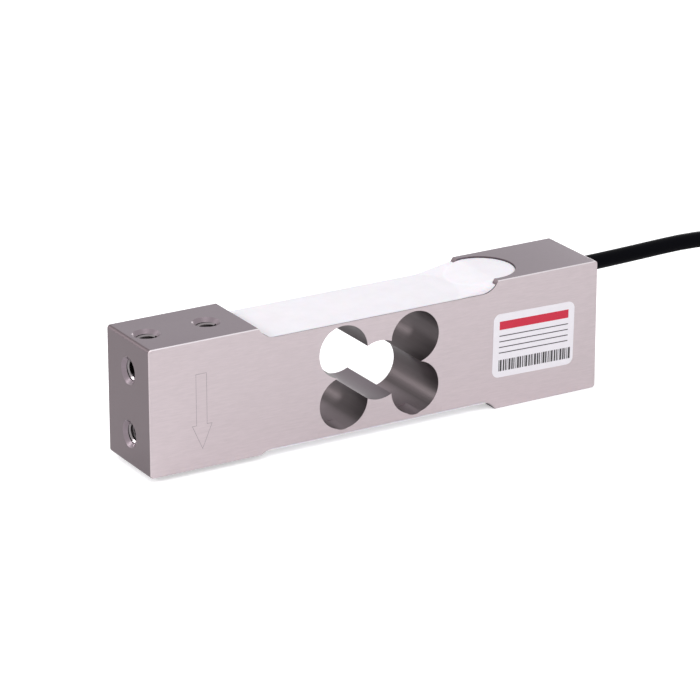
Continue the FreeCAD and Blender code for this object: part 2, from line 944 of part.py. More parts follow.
def make_silicone(inner):
    """Both coatings, hollow where the gauges, tabs, leads and the board lie in them."""
    buried = [piece.Shape for piece in inner]
    top_floor = size("beam_height") - size("top_recess_depth")
    top = coat_sheet("top", top_floor, 1).fuse([pocket_fill(), climbing_bead()])
    bottom = coat_sheet("bottom", size("bottom_recess_depth"), -1)
    plug_height = size("beam_height") - size("pocket_depth") - size("bottom_recess_depth")
    plug = Part.makeCylinder(
        size("wire_hole_diameter") / 2,
        plug_height,
        Vector(size("wire_hole_shift"), 0, size("bottom_recess_depth")),
    )
    made = []
    for name, shape in (("top_silicone", top), ("bottom_silicone", bottom.fuse(plug))):
        piece = doc.addObject("Part::Feature", name)
        piece.Label = name
        solid = shape.cut(buried).removeSplitter()
        piece.Shape = max(solid.Solids, key=lambda part: part.Volume)
        piece.Placement = Placement()
        made.append(piece)
    return made


# The label on the side face


def make_label():
    body = new_body("rating_label")
    sketch = new_sketch(body, "XZ_Plane", "label_outline")
    rectangle(
        sketch,
        "- label_length / 2",
        "label_length / 2",
        "- label_height / 2",
        "label_height / 2",
    )
    base = pad(body, sketch, "label_sheet", "label_thickness")
    corners = edges_where(
        body.Shape, lambda edge: edge.BoundBox.XLength < 0.01 and edge.BoundBox.ZLength < 0.01
    )
    dress(body, "Fillet", "label_corners", base, corners, "Radius", "label_corner")
    tilt = Rotation(Vector(0, 1, 0), size("label_angle"))
    body.Placement = Placement(Vector(), tilt)
    bind(body, "Placement.Base.x", "label_shift")
    bind(body, "Placement.Base.y", "- beam_width / 2")
    bind(body, "Placement.Base.z", "label_mid_height")
    return body


# The free cable, its hank and its stripped end


def lanes():
    """Y of the two runs on the near side and of the run on the far side."""
    return {
        "first": CABLE_ROUTE[-1][1],
        "second": CABLE_ROUTE[-1][1] - size("cable_diameter"),
        "back": CABLE_ROUTE[-1][1] + 2 * size("fold_radius"),
    }


def make_hank():
    """The coiled length's outer shape: two folds joined by two runs in front and one behind."""
    half = size("cable_diameter") / 2
    lane = lanes()
    near = size("hank_start")
    far = near + size("hank_run")
    entry = CABLE_ROUTE[-1][0]
    leave = size("second_run_end")
    front, shared, inner = lane["second"] - half, lane["first"] - half, lane["first"] + half
    back = lane["back"] + half
    near_middle = Vector(near, (front + back) / 2, 0)
    far_middle = Vector(far, (shared + back) / 2, 0)
    near_outer = (back - front) / 2
    far_outer = (back - shared) / 2
    far_inner = far_outer - 2 * half
    near_inner = near_outer - 2 * half

    def line(start, end):
        return Part.LineSegment(Vector(*start, 0), Vector(*end, 0)).toShape()

    def fold(middle, radius, side):
        """Half a circle that bulges to plus or minus X."""
        low = middle - Vector(0, radius, 0)
        high = middle + Vector(0, radius, 0)
        return Part.Arc(low, middle + Vector(side * radius, 0, 0), high).toShape()

    outer = [
        fold(near_middle, near_outer, -1),
        line((near, back), (far, back)),
        fold(far_middle, far_outer, 1),
        line((far, shared), (leave, shared)),
        line((leave, shared), (leave, front)),
        line((leave, front), (near, front)),
    ]
    inside = [
        fold(near_middle, near_inner, -1),
        line((near, back - 2 * half), (far, back - 2 * half)),
        fold(far_middle, far_inner, 1),
        line((far, inner), (entry, inner)),
        line((entry, inner), (entry, shared)),
        line((entry, shared), (near, shared)),
    ]
    rise = Vector(0, 0, 2 * half)
    whole = Part.Face(Part.Wire(outer)).extrude(rise)
    solid = whole.cut(Part.Face(Part.Wire(inside)).extrude(rise)).Solids[0]
    level_edges = [edge for edge in solid.Edges if edge.BoundBox.ZLength < 0.01]
    solid = solid.makeChamfer(size("hank_edge"), level_edges)
    groove = Part.makeBox(
        size("tie_width"),
        4 * half,
        size("tie_thickness"),
        Vector(size("tie_shift") - size("tie_width") / 2, front, 0),
    )
    piece = doc.addObject("Part::Feature", "cable_hank")
    piece.Label = "cable_hank"
    piece.Shape = solid.cut(groove)
    piece.Placement = Placement()
    return piece


def make_tie(hank):
    """A strap round the two runs on the near side, with its locking head and short cut end."""
    lane = lanes()
    half = size("cable_diameter") / 2
    wall = size("tie_thickness")
    width = size("tie_width")
    front, inner = lane["second"] - half, lane["first"] + half
    low = Vector(size("tie_shift") - width / 2, front - wall, 0)
    strap = Part.makeBox(width, inner - front + 2 * wall, 2 * half + wall, low)
    head_low = Vector(
        size("tie_shift") - size("tie_head_width") / 2,
        (front + inner) / 2 - size("tie_head_length") / 2,
        2 * half + wall,
    )
    head = Part.makeBox(
        size("tie_head_width"), size("tie_head_length"), size("tie_head_height"), head_low
    )
    tail = Part.makeBox(
        width,
        wall,
        size("tie_tail_length"),
        Vector(low.x, (front + inner) / 2, 2 * half + wall + size("tie_head_height")),
    )
    piece = doc.addObject("Part::Feature", "hank_tie")
    piece.Label = "hank_tie"
    piece.Shape = strap.fuse([head, tail]).cut(hank.Shape).removeSplitter()
    piece.Placement = Placement()
    return piece


def sleeve_middle():
    """Y and Z of the shrink sleeve, which lies on the floor beside the first run."""
    first = lanes()["first"]
    radii = (size("cable_diameter") + size("sleeve_diameter")) / 2
    return first - radii - size("sleeve_clearance"), size("sleeve_diameter") / 2


def make_far_end():
    """The shrink sleeve over the cut jacket and the loose conductors that come out of it."""
    y, z = sleeve_middle()
    start = size("second_run_end")
    sleeve = rod(
        "end_sleeve",
        "sleeve_diameter",
        "sleeve_length",
        ("second_run_end", f"{y:.4f}", "sleeve_diameter / 2"),
        (1, 0, 0),
    )
    made = [sleeve]
    mouth = start + size("sleeve_length")
    apart = mouth + size("tail_straight")
    down = apart + size("tail_fall")
    for name, (angle, rest_y, rest_z) in TAILS.items():
        turn = math.radians(angle)
        out_y = y + size("tail_circle") * math.cos(turn)
        out_z = z + size("tail_circle") * math.sin(turn)
        points = [
            (mouth, out_y, out_z),
            (apart, out_y, out_z),
            (down, rest_y, rest_z),
            (down + size("tail_rest"), rest_y, rest_z),
        ]
        made.append(wire(name, points, core_section(points[0])))
    return made


def main():
    fill_sheet()
    beam = make_beam()
    gauges = make_gauges()
    board = make_board()
    entry = make_entry()
    doc.recompute()
    leads = make_leads()
    cores = make_cores()
    silicone = make_silicone(gauges + board + leads + cores + entry)
    label = make_label()
    cable = tube("cable_run", CABLE_ROUTE, size("cable_diameter"))
    hank = make_hank()
    tie = make_tie(hank)
    far_end = make_far_end()
    doc.recompute()

    pieces = [beam, *gauges, *board, *leads, *cores, *entry, *silicone, label, cable, hank, tie]
    pieces += far_end
    failed = [item.Label for item in doc.Objects if {"Invalid", "Error"} & set(item.State)]
    for piece in pieces:
        if piece.Shape.isNull() or not piece.Shape.isValid() or piece.Shape.Volume <= 0:
            failed.append(piece.Label)
    if failed:
        raise ValueError(f"these came out wrong: {', '.join(failed)}")

    os.makedirs("parts", exist_ok=True)
    for piece in pieces:
        piece.Shape.exportStep(f"parts/{piece.Label}.step")
        print(f"{piece.Label}: {len(piece.Shape.Solids)} solid, {piece.Shape.Volume:.2f} mm3")


main()
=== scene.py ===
"""Looks of a single point load cell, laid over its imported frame.

The beam keeps its machined shape. Here it gets its brushed and milled finishes, its threads, its
etched arrow, its silicone and its label, and the signal cable with the hank it is tied into.
"""

import json
import math
from contextlib import contextmanager

import bpy
from bpy.props import FloatProperty, FloatVectorProperty, IntProperty, PointerProperty
from mathutils import Matrix, Vector


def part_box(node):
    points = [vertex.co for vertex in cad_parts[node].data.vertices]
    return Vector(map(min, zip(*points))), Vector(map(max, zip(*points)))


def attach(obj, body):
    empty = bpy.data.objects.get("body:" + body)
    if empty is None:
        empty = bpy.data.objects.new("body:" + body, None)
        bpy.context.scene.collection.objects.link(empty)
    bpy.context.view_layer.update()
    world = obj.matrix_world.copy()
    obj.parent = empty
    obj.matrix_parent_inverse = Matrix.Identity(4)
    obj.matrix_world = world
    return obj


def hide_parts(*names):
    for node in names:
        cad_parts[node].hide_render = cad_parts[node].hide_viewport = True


bl_info = {
    "name": "Load Cell Builder",
    "version": (1, 0, 0),
    "blender": (4, 5, 0),
    "location": "3D View > Sidebar > Load Cell",
    "description": "Builds the finished look of a single point load cell piece by piece",
    "category": "Object",
}

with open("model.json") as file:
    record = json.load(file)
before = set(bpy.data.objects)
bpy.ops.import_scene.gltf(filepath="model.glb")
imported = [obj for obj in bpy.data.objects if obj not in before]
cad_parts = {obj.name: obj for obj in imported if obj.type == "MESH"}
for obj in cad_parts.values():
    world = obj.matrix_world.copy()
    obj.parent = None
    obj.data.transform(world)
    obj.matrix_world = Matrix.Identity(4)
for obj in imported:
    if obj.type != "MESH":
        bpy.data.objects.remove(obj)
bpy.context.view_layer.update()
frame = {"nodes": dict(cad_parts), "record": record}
MM = 0.001
ROOT = "root"

# The cable's route before it is coiled, in metres, as the beam's source has it.
CABLE_ROUTE = (
    (0.0750, 0.0000, 0.03462),
    (0.0850, 0.0000, 0.03462),
    (0.1295, -0.0007, 0.0363),
    (0.1476, -0.0030, 0.0272),
    (0.1602, -0.0068, 0.0112),
    (0.1780, -0.0115, 0.00245),
    (0.1940, -0.0115, 0.00245),
)

# The insulation of the five conductors, in the beam and at the cable's far end.
CORE_TINTS = {
    "red": (0.55, 0.02, 0.02),
    "black": (0.012, 0.012, 0.014),
    "green": (0.02, 0.24, 0.05),
    "white": (0.80, 0.80, 0.78),
    "shield": (0.70, 0.48, 0.04),
}


# Sizes and colours that a user would change


def number(name, description, default, **kind):
    return FloatProperty(name=name, description=description, default=default, **kind)


def length(name, description, default):
    return number(name, description, default, unit="LENGTH")


def angle(name, description, degrees):
    return number(name, description, math.radians(degrees), subtype="ANGLE")


def colour(name, description, default):
    return FloatVectorProperty(
        name=name, description=description, default=default, subtype="COLOR", min=0.0, max=1.0
    )


class StageSettings(bpy.types.PropertyGroup):
    camera_place: FloatVectorProperty(
        name="Camera place",
        description="Where the camera stands",
        default=(-0.51212, -0.85604, 0.39227),
        subtype="TRANSLATION",
        unit="LENGTH",
    )
    camera_view: FloatVectorProperty(
        name="Camera view",
        description="The direction that the camera looks in",
        default=(0.47938, 0.80570, -0.34791),
        subtype="DIRECTION",
    )
    camera_lens: number("Lens", "Focal length on a 36 mm wide sensor", 188.6)
    surroundings: number("Surroundings", "Strength of the soft light all round", 0.62)
    key_power: number("Key light", "Power of the large lamp over the camera", 6.5)
    bore_power: number("Bore light", "Power of the lamp behind the load end", 4.4)
    back_power: number("Back light", "Power of the lamp behind the cable end", 1.0)
    floor_colour: colour("Floor", "Colour of the floor", (0.86, 0.86, 0.87))


class BeamSettings(bpy.types.PropertyGroup):
    # Painted light and shade over the two finishes: the sides carry a lit tone, the milled tops a
    # shaded one.
    side_lit_colour: colour("Brushed sides", "Colour of the two brushed sides", (0.61, 0.532, 0.554))
    milled_shaded_colour: colour("Milled faces", "Colour of the milled faces", (0.214, 0.172, 0.198))
    # The ends are shaded darker than the milled tops: painted shade.
    end_shaded_colour: colour("End faces", "Colour of the two milled ends", (0.152, 0.120, 0.131))
    # The bored walls are darkened: painted shade in the bores.
    bore_shade_colour: colour("Bores", "Colour of the bored walls", (0.088, 0.072, 0.076))
    # Down in the screw holes the colour is darkened: painted shade.
    hole_shade_colour: colour("Holes", "Colour down in the screw holes", (0.05, 0.043, 0.046))
    rim_colour: colour("Rims", "Colour of the screw holes' countersinks", (0.25, 0.205, 0.23))
    # The lower bores' floors are made lighter: painted light.
    bore_floor_light_colour: colour("Bore floors", "Colour of the lower bores' floors", (0.30, 0.25, 0.27))
    bore_floor_light_level: length("Floor level", "Height up to which the lower bores are lighter", 0.006)
    # The middle bore's wall is made lighter: painted light.
    middle_bore_light_colour: colour("Middle bore", "Colour of the middle bore's wall", (0.19, 0.16, 0.178))
    middle_radius: length("Middle bore radius", "Radius of the middle bore", 0.009)
    # The broken edges: their bare metal with a painted highlight along them.
    edge_highlight_colour: colour("Edges", "Colour of the broken edges", (0.74, 0.69, 0.72))
    roughness: number("Roughness", "Of the brushed sides", 0.42)
    bore_roughness: number("Bore roughness", "Of the bores", 0.35)
    soft_roughness: number("Soft roughness", "Of the rounded corner and the floors", 0.6)
    metallic: number("Metallic", "Share of bare metal", 0.9)
    smooth_angle: angle("Smooth angle", "Greatest angle between facets shaded as one", 26)
    bore_radius: length("Bore radius", "Radius of the four corner bores", 0.008)


class ThreadSettings(bpy.types.PropertyGroup):
    outer_radius: length("Outer radius", "Radius of the thread's roots", 0.003)
    inner_radius: length("Inner radius", "Radius of the thread's crests", 0.00248)
    pitch: length("Pitch", "Distance from turn to turn", 0.001)
    start: length("Start", "Depth of the first turn below the face", 0.0010)
    depth: length("Depth", "Depth of the last turn below the face", 0.0125)
    top_crossing: length("Top crossing", "Depth at which a top hole meets an end hole", 0.0066)
    end_crossing: length("End crossing", "Depth at which an end hole meets a top hole", 0.003)
    segments: IntProperty(name="Segments", description="Steps in each turn", default=36)


class ArrowSettings(bpy.types.PropertyGroup):
    line_width: length("Line width", "Width of the etched line", 0.00013)
    proud: length("Proud", "How far the line's film stands off the face", 0.00001)
    line_colour: colour("Line", "Colour of the etched line", (0.30, 0.25, 0.28))


class SiliconeSettings(bpy.types.PropertyGroup):
    tint: colour("Silicone", "Colour of the silicone", (0.838, 0.810, 0.857))
    voxel: length("Voxel", "Size of the cells that its surface is rebuilt from", 0.00028)
    rounds: IntProperty(name="Rounds", description="How often the surface is eased", default=16)
    sunk: length("Sunk", "How far the upper coat's eased lower edge lies in the beam", 0.00018)


class LabelSettings(bpy.types.PropertyGroup):
    film_colour: colour("Film", "Colour of the label's film", (0.84, 0.81, 0.86))
    band_colour: colour("Band", "Colour of the band across its head", (0.60, 0.012, 0.045))
    ink_colour: colour("Ink", "Colour of the ruled lines and the bars", (0.055, 0.05, 0.055))
    tilt: angle("Tilt", "How far the label is turned clockwise", 1.2)


class TieSettings(bpy.types.PropertyGroup):
    tint: colour("Nylon", "Colour of the strap", (0.78, 0.77, 0.72))
    edge: length("Soft edge", "Width of the strap's softened edges", 0.00022)


class CableSettings(bpy.types.PropertyGroup):
    diameter: length("Diameter", "Diameter of the cable's jacket", 0.0049)
    real_length: length("Length", "Length from the beam to the end of the jacket", 0.418)
    fold_radius: length("Fold radius", "Half the distance between the hank's runs", 0.0138)
    hank_start: length("Hank start", "X of the near fold's middle", 0.149)
    hank_run: length("Hank run", "Length of the hank's straight runs", 0.083)
    second_run_end: length("Jacket end", "X at which the jacket ends in its sleeve", 0.2215)
    fold_step: angle("Fold step", "Turn between two of the route's points in a fold", 15)
    core_diameter: length("Core diameter", "Diameter of a loose conductor", 0.0011)
    bare_length: length("Bare length", "Length of a conductor's stripped tip", 0.0035)
    jacket_colour: colour("Jacket", "Colour of the cable's jacket", (0.0015, 0.0015, 0.0028))


# Helpers


def settings(context, name):
    return getattr(context.scene, f"load_cell_{name}")


def select_only(piece):
    bpy.ops.object.select_all(action="DESELECT")
    piece.select_set(True)
    bpy.context.view_layer.objects.active = piece


def new_plane(size, **place):
    bpy.ops.object.select_all(action="DESELECT")
    bpy.ops.mesh.primitive_plane_add(size=size, **place)
    return bpy.context.object


@contextmanager
def all_selected():
    """Edit mode on the active piece, from the start with its whole mesh selected."""
    bpy.ops.object.mode_set(mode="EDIT")
    bpy.ops.mesh.select_all(action="SELECT")
    yield
    bpy.ops.object.mode_set(mode="OBJECT")


def finish_piece(piece, name, slot, *materials):
    """Name a new piece, give it its materials and let it go with the beam."""
    piece.name = name
    piece.data.name = name
    piece.data.materials.clear()
    for material in materials:
        piece.data.materials.append(material)
    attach(piece, ROOT)
    return piece


def smooth_copy(node, angle):
    """A copy of a CAD node's mesh with its triangles joined and its round faces smooth."""
    piece = bpy.data.objects.new(f"{node}_finished", frame["nodes"][node].data.copy())
    bpy.context.scene.collection.objects.link(piece)
    select_only(piece)
    bpy.ops.mesh.customdata_custom_splitnormals_clear()
    with all_selected():
        bpy.ops.mesh.remove_doubles(threshold=1e-6)
    bpy.ops.object.shade_smooth_by_angle(angle=angle)
    return piece


def apply_modifiers(piece):
    select_only(piece)
    for modifier in list(piece.modifiers):
        bpy.ops.object.modifier_apply(modifier=modifier.name)


def joined(pieces):
    """One piece made of several."""
    select_only(pieces[0])
    for piece in pieces[1:]:
        piece.select_set(True)
    bpy.ops.object.join()
    return pieces[0]


def place_in_mesh(piece, matrix=None):
    """Move a piece's place into its mesh, so that its object sits at the origin."""
    piece.data.transform((matrix or Matrix()) @ piece.matrix_world)
    piece.matrix_world = Matrix()


def box_fit(piece, low, high):
    """The stretch that gives a mesh this box."""
    corners = [vertex.co for vertex in piece.data.vertices]
    small = [min(corner[axis] for corner in corners) for axis in range(3)]
    large = [max(corner[axis] for corner in corners) for axis in range(3)]
    ratios = [(high[axis] - low[axis]) / (large[axis] - small[axis]) for axis in range(3)]
    back = Matrix.Translation([-value for value in small])
    return Matrix.Translation(low) @ Matrix.Diagonal((*ratios, 1.0)) @ back


# Materials


def add_node(tree, kind, x, y, **values):
    node = tree.nodes.new(kind)
    node.location = (x, y)
    for name, value in values.items():
        if name in node.inputs:
            node.inputs[name].default_value = value
        else:
            setattr(node, name, value)
    return node


def mixed(tree, x, y, factor, first, second, kind="RGBA"):
    """The mix of two colours or normals, each a socket or a constant."""
    node = add_node(tree, "ShaderNodeMix", x, y, data_type=kind)
    live = {socket.name: socket for socket in node.inputs if socket.enabled}
    for name, value in (("Factor", factor), ("A", first), ("B", second)):
        if isinstance(value, bpy.types.NodeSocket):
            tree.links.new(value, live[name])
        else:
            live[name].default_value = value
    return next(socket for socket in node.outputs if socket.enabled)


def figure(tree, x, y, operation, first, second=0.0, third=0.0):
    """The result of a sum on sockets or constants."""
    node = add_node(tree, "ShaderNodeMath", x, y, operation=operation)
    for socket, value in zip(node.inputs, (first, second, third), strict=True):
        if isinstance(value, bpy.types.NodeSocket):
            tree.links.new(value, socket)
        else:
            socket.default_value = value
    return node.outputs[0]


def ramp(tree, x, y, value, low, high, start=0.0, end=1.0):
    """A value stretched from the range start to end to the range low to high."""
    node = add_node(tree, "ShaderNodeMapRange", x, y)
    bounds = {"From Min": start, "From Max": end, "To Min": low, "To Max": high}
    for label, bound in bounds.items():
        node.inputs[label].default_value = bound
    tree.links.new(value, node.inputs["Value"])
    return node.outputs["Result"]


def new_group(name, inputs, outputs):
    """An empty shader group with the sockets named."""
    tree = bpy.data.node_groups.new(name, "ShaderNodeTree")
    for label, kind, default in inputs:
        socket = tree.interface.new_socket(label, in_out="INPUT", socket_type=f"NodeSocket{kind}")
        socket.default_value = default
    for label, kind in outputs:
        tree.interface.new_socket(label, in_out="OUTPUT", socket_type=f"NodeSocket{kind}")
    entry = add_node(tree, "NodeGroupInput", -900, 0)
    leave = add_node(tree, "NodeGroupOutput", 900, 0)
    return tree, entry.outputs, leave.inputs


def grain_group():
    """Streaks or speckles: two tones mixed by stretched noise, with their bump and a mask."""
    name = "Grain"
    if name in bpy.data.node_groups:
        return bpy.data.node_groups[name]
    tree, inputs, outputs = new_group(
        name,
        [
            ("Dark", "Color", (0.4, 0.4, 0.4, 1)),
            ("Light", "Color", (0.6, 0.6, 0.6, 1)),
            ("Stretch", "Vector", (1.0, 1.0, 1.0)),
            ("Scale", "Float", 1000.0),
            ("Detail", "Float", 3.0),
            ("Contrast", "Float", 0.5),
            ("Relief", "Float", 0.1),
            ("Depth", "Float", 0.00002),
        ],
        [("Color", "Color"), ("Normal", "Vector"), ("Mask", "Float")],
    )
    link = tree.links.new
    place = add_node(tree, "ShaderNodeTexCoord", -900, 300)
    scaled = add_node(tree, "ShaderNodeVectorMath", -650, 200, operation="MULTIPLY")
    noise = add_node(tree, "ShaderNodeTexNoise", -420, 200, Roughness=0.6)
    band = add_node(tree, "ShaderNodeMapRange", -150, 200)
    bump = add_node(tree, "ShaderNodeBump", 400, -100)
    link(place.outputs["Object"], scaled.inputs[0])
    link(inputs["Stretch"], scaled.inputs[1])
    link(scaled.outputs["Vector"], noise.inputs["Vector"])
    for label in ("Scale", "Detail"):
        link(inputs[label], noise.inputs[label])
    link(noise.outputs["Fac"], band.inputs["Value"])
    low = figure(tree, -420, -80, "MULTIPLY_ADD", inputs["Contrast"], 0.5, 0.0)
    high = figure(tree, -420, -260, "MULTIPLY_ADD", inputs["Contrast"], -0.5, 1.0)
    link(low, band.inputs["From Min"])
    link(high, band.inputs["From Max"])
    tone = mixed(tree, 150, 200, band.outputs["Result"], inputs["Dark"], inputs["Light"])
    link(band.outputs["Result"], bump.inputs["Height"])
    link(inputs["Relief"], bump.inputs["Strength"])
    link(inputs["Depth"], bump.inputs["Distance"])
    link(tone, outputs["Color"])
    link(bump.outputs["Normal"], outputs["Normal"])
    link(band.outputs["Result"], outputs["Mask"])
    return tree


def shade(tint, factor):
    """A colour made darker or lighter, with its alpha."""
    return (*(min(1.0, channel * factor) for channel in tint[:3]), 1.0)


def new_material(name, roughness, metallic=0.0, **sockets):
    """A material with its shader's own constants set."""
    material = bpy.data.materials.new(name)
    material.use_nodes = True
    tree = material.node_tree
    shader = tree.nodes["Principled BSDF"]
    shader.location = (700, 0)
    tree.nodes["Material Output"].location = (1000, 0)
    shader.inputs["Roughness"].default_value = roughness
    shader.inputs["Metallic"].default_value = metallic
    for label, value in sockets.items():
        shader.inputs[label.replace("_", " ")].default_value = value
    return material, tree, shader


def grain_node(tree, x, y, dark, light, **values):
    node = add_node(tree, "ShaderNodeGroup", x, y)
    node.node_tree = grain_group()
    node.inputs["Dark"].default_value = dark
    node.inputs["Light"].default_value = light
    for label, value in values.items():
        node.inputs[label].default_value = value
    return node


def grained(name, tint, roughness, metallic=0.0, spread=0.12, sockets=None, **values):
    """A plain finish: one tint with fine speckles, a little relief and an uneven gloss."""
    name = f"{name}_finish"
    if name in bpy.data.materials:
        return bpy.data.materials[name]
    material, tree, shader = new_material(name, roughness, metallic, **(sockets or {}))
    dark, light = shade(tint, 1 - spread), shade(tint, 1 + spread)
    grain = grain_node(tree, 100, 100, dark, light, **values)
    smooth, dull = roughness * 0.9, min(1.0, roughness * 1.12)
    gloss = ramp(tree, 420, -200, grain.outputs["Mask"], smooth, dull)
    tree.links.new(grain.outputs["Color"], shader.inputs["Base Color"])
    tree.links.new(grain.outputs["Normal"], shader.inputs["Normal"])
    tree.links.new(gloss, shader.inputs["Roughness"])
    return material


def beam_material(look):
    """Brushed sides and darker milled faces, dark bored walls and bright broken edges, with
    painted light and shade: lit sides, shaded tops, ends, bores and holes, lit bore floors and
    middle bore, and a painted highlight on the edges.
    """
    material, tree, shader = new_material("beam_finish", look.roughness, look.metallic)
    link = tree.links.new
    place = add_node(tree, "ShaderNodeTexCoord", -1300, 0)
    facing = add_node(tree, "ShaderNodeSeparateXYZ", -1100, -100)
    where = add_node(tree, "ShaderNodeSeparateXYZ", -1100, -500)
    link(place.outputs["Normal"], facing.inputs[0])
    link(place.outputs["Object"], where.inputs[0])

    # The brushed sides carry a lit tone and the milled faces a shaded one: painted light and shade
    # under the two grains.
    brushed = grain_node(
        tree,
        -500,
        500,
        shade(look.side_lit_colour, 0.95),
        shade(look.side_lit_colour, 1.05),
        Stretch=(0.12, 1.0, 1.0),
        Scale=2600.0,
        Contrast=0.5,
        Relief=0.12,
        Depth=0.00003,
    )
    milled = grain_node(
        tree,
        -500,
        100,
        shade(look.milled_shaded_colour, 0.96),
        shade(look.milled_shaded_colour, 1.04),
        Stretch=(1.0, 0.2, 1.0),
        Scale=2200.0,
        Contrast=0.4,
        Relief=0.06,
        Depth=0.00002,
    )
    # The bores' grain sits on a dark tone: painted shade.
    bored = grain_node(
        tree,
        -500,
        -300,
        shade(look.bore_shade_colour, 0.85),
        shade(look.bore_shade_colour, 1.15),
        Stretch=(1.0, 0.03, 1.0),
        Scale=600.0,
        Contrast=0.3,
        Relief=0.2,
        Depth=0.00004,
    )

    def within(x, y, socket, low, high):
        """1 where a value lies between two bounds."""
        over = figure(tree, x, y, "GREATER_THAN", socket, low)
        under = figure(tree, x, y - 150, "LESS_THAN", socket, high)
        return figure(tree, x + 180, y, "MULTIPLY", over, under)

    # Bounds of the masks: along the beam from its middle, up from its foot, and across it.
    flexure_end, block_start, block_end = 21 * MM, 44 * MM, 73.9 * MM
    hole_end, skin_start = 73.85 * MM, 73.8 * MM
    bore_foot, bore_top = 3.3 * MM, 36.2 * MM
    hole_foot, hole_top = 1.7 * MM, 38.85 * MM
    foot_skin, top_skin = 1.2 * MM, 38.9 * MM
    end_holes_foot, end_holes_top = 5 * MM, 36 * MM
    past_rim, side_skin = 4.2 * MM, 12.2 * MM

    # Places: the bores lie in the flexure, the screw holes in the two ends.
    side_step = figure(tree, -1100, -700, "ABSOLUTE", where.outputs["X"])
    off_middle = figure(tree, -1100, -850, "ABSOLUTE", where.outputs["Y"])
    height = where.outputs["Z"]
    in_flexure = figure(tree, -900, -450, "LESS_THAN", side_step, flexure_end)
    between = within(-900, -600, height, bore_foot, bore_top)
    in_bore = figure(tree, -500, -650, "MULTIPLY", in_flexure, between)
    in_end = within(-900, -950, side_step, block_start, hole_end)
    near_middle = figure(tree, -900, -1250, "LESS_THAN", off_middle, past_rim)
    deep = within(-900, -1400, height, hole_foot, hole_top)
    in_hole = figure(tree, -500, -1000, "MULTIPLY", in_end, near_middle)
    in_hole = figure(tree, -300, -1000, "MULTIPLY", in_hole, deep)

    # The holes' mouths: in the load end's top and face, and in both ends' foot.
    load_half = figure(tree, -900, -1700, "LESS_THAN", where.outputs["X"], 0.0)
    at_foot = figure(tree, -900, -1850, "LESS_THAN", height, foot_skin)
    beside = within(-900, -2000, side_step, block_start, block_end)
    halfway = within(-900, -2300, height, end_holes_foot, end_holes_top)
    outer = figure(tree, -900, -2600, "GREATER_THAN", side_step, skin_start)
    facing_out = figure(tree, -500, -2300, "MULTIPLY", halfway, outer)
    above = figure(tree, -500, -1700, "MAXIMUM", beside, facing_out)
    above = figure(tree, -300, -1700, "MULTIPLY", above, load_half)
    below = figure(tree, -500, -1850, "MULTIPLY", beside, at_foot)
    mouth = figure(tree, -100, -1700, "MAXIMUM", above, below)
    highest = figure(tree, -500, -2600, "GREATER_THAN", height, top_skin)
    at_corner = figure(tree, -300, -2600, "MULTIPLY", outer, highest)

    # The lower bores' floors are lighter, and so is the middle bore: painted light.
    low_start = 4.2 * MM
    painted_floor_light = ramp(tree, -900, -2750, height, 1.0, 0.0, low_start, look.bore_floor_light_level)
    openings = frame["record"]["physics"]["openings"]
    low, high = next(one["box_m"] for one in openings if one["name"] == "flexure_middle")
    middle_x, middle_z = (low[0] + high[0]) / 2, (low[2] + high[2]) / 2
    aside = figure(tree, -900, -3000, "SUBTRACT", where.outputs["X"], middle_x)
    raised = figure(tree, -900, -3150, "SUBTRACT", height, middle_z)
    aside = figure(tree, -700, -3000, "MULTIPLY", aside, aside)
    distance = figure(tree, -500, -3000, "MULTIPLY_ADD", raised, raised, aside)
    spare = 0.06 * MM
    reach = (look.middle_radius + spare) ** 2
    in_middle = figure(tree, -300, -3000, "LESS_THAN", distance, reach)

    # Directions: the sides with their upright edges, the ends, and the long edges.
    side_turn, end_turn, lean = 0.6, 0.2, 0.94
    across = figure(tree, -900, -100, "ABSOLUTE", facing.outputs["Y"])
    along = figure(tree, -900, -250, "ABSOLUTE", facing.outputs["X"])
    upward = figure(tree, -900, -350, "ABSOLUTE", facing.outputs["Z"])
    outmost = figure(tree, -700, -1250, "GREATER_THAN", off_middle, side_skin)
    turned = figure(tree, -700, 0, "GREATER_THAN", across, side_turn)
    on_side = figure(tree, -500, -50, "MULTIPLY", turned, outmost)
    on_end = figure(tree, -700, -250, "GREATER_THAN", along, end_turn)
    slanted = figure(tree, -700, -350, "COMPARE", upward, math.sqrt(0.5), 0.05)
    # The chamfers along the sides' long edges, where the painted highlight goes.
    edge_highlight_mask = figure(tree, -300, -350, "MULTIPLY", slanted, on_side)
    steepest = figure(tree, -700, -500, "MAXIMUM", along, upward)
    leaning = figure(tree, -500, -500, "LESS_THAN", steepest, lean)
    on_rim = figure(tree, -300, -500, "MULTIPLY", leaning, mouth)
    on_rim = figure(tree, -100, -500, "MULTIPLY", on_rim, near_middle)
    on_corner = figure(tree, -100, -600, "MULTIPLY", leaning, at_corner)

    # The ends get painted shade, darker than the milled tops.
    walls = mixed(tree, -200, 300, on_end, milled.outputs["Color"], shade(look.end_shaded_colour, 1.0))
    # Painted light on the lower bores' floors.
    tones = mixed(tree, -200, 500, painted_floor_light, bored.outputs["Color"], shade(look.bore_floor_light_colour, 1.0))
    # Painted light on the middle bore's wall.
    tones = mixed(tree, 0, 500, in_middle, tones, shade(look.middle_bore_light_colour, 1.0))
    walls = mixed(tree, 0, 250, in_bore, walls, tones)
    walls = mixed(tree, 0, 100, on_rim, walls, shade(look.rim_colour, 1.0))
    # Painted shade down in the screw holes.
    walls = mixed(tree, 0, -50, in_hole, walls, shade(look.hole_shade_colour, 1.0))
    faces = mixed(tree, 200, 200, on_side, walls, brushed.outputs["Color"])
